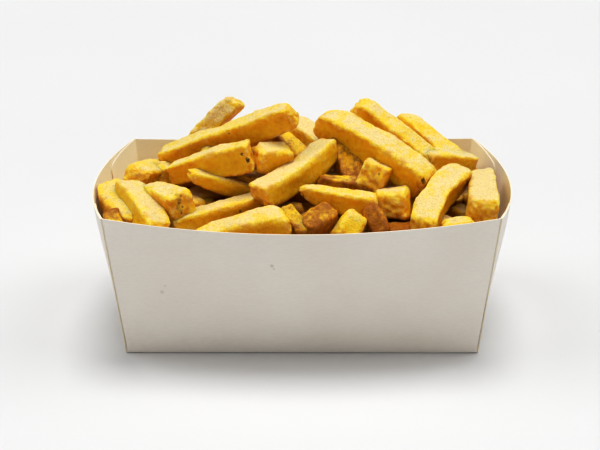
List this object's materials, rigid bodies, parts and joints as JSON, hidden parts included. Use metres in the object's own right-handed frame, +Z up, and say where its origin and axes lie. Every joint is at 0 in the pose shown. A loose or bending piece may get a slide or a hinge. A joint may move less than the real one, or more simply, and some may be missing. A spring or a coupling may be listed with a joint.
{
  "type": "french fries in a carton",
  "caption": "Open rectangular paperboard carton with bowed flaring walls and corner glue flaps, heaped with chunky golden french fries.",
  "frame": {"origin": "on the table under the middle of the carton's base", "axes": "+X along the carton's long side to the right, +Y to the back, +Z up; the front long wall faces -Y"},
  "size_m": [0.1904, 0.1188, 0.1051],
  "materials": {
    "paperboard": "matte uncoated white board with cream cut edges",
    "fried_potato": "golden fried crust, slightly oily, pale on top and browner at ends and edges"
  },
  "bodies": {
    "root": {"carton": "paperboard", "fries": "fried_potato"}
  },
  "joints": []
}
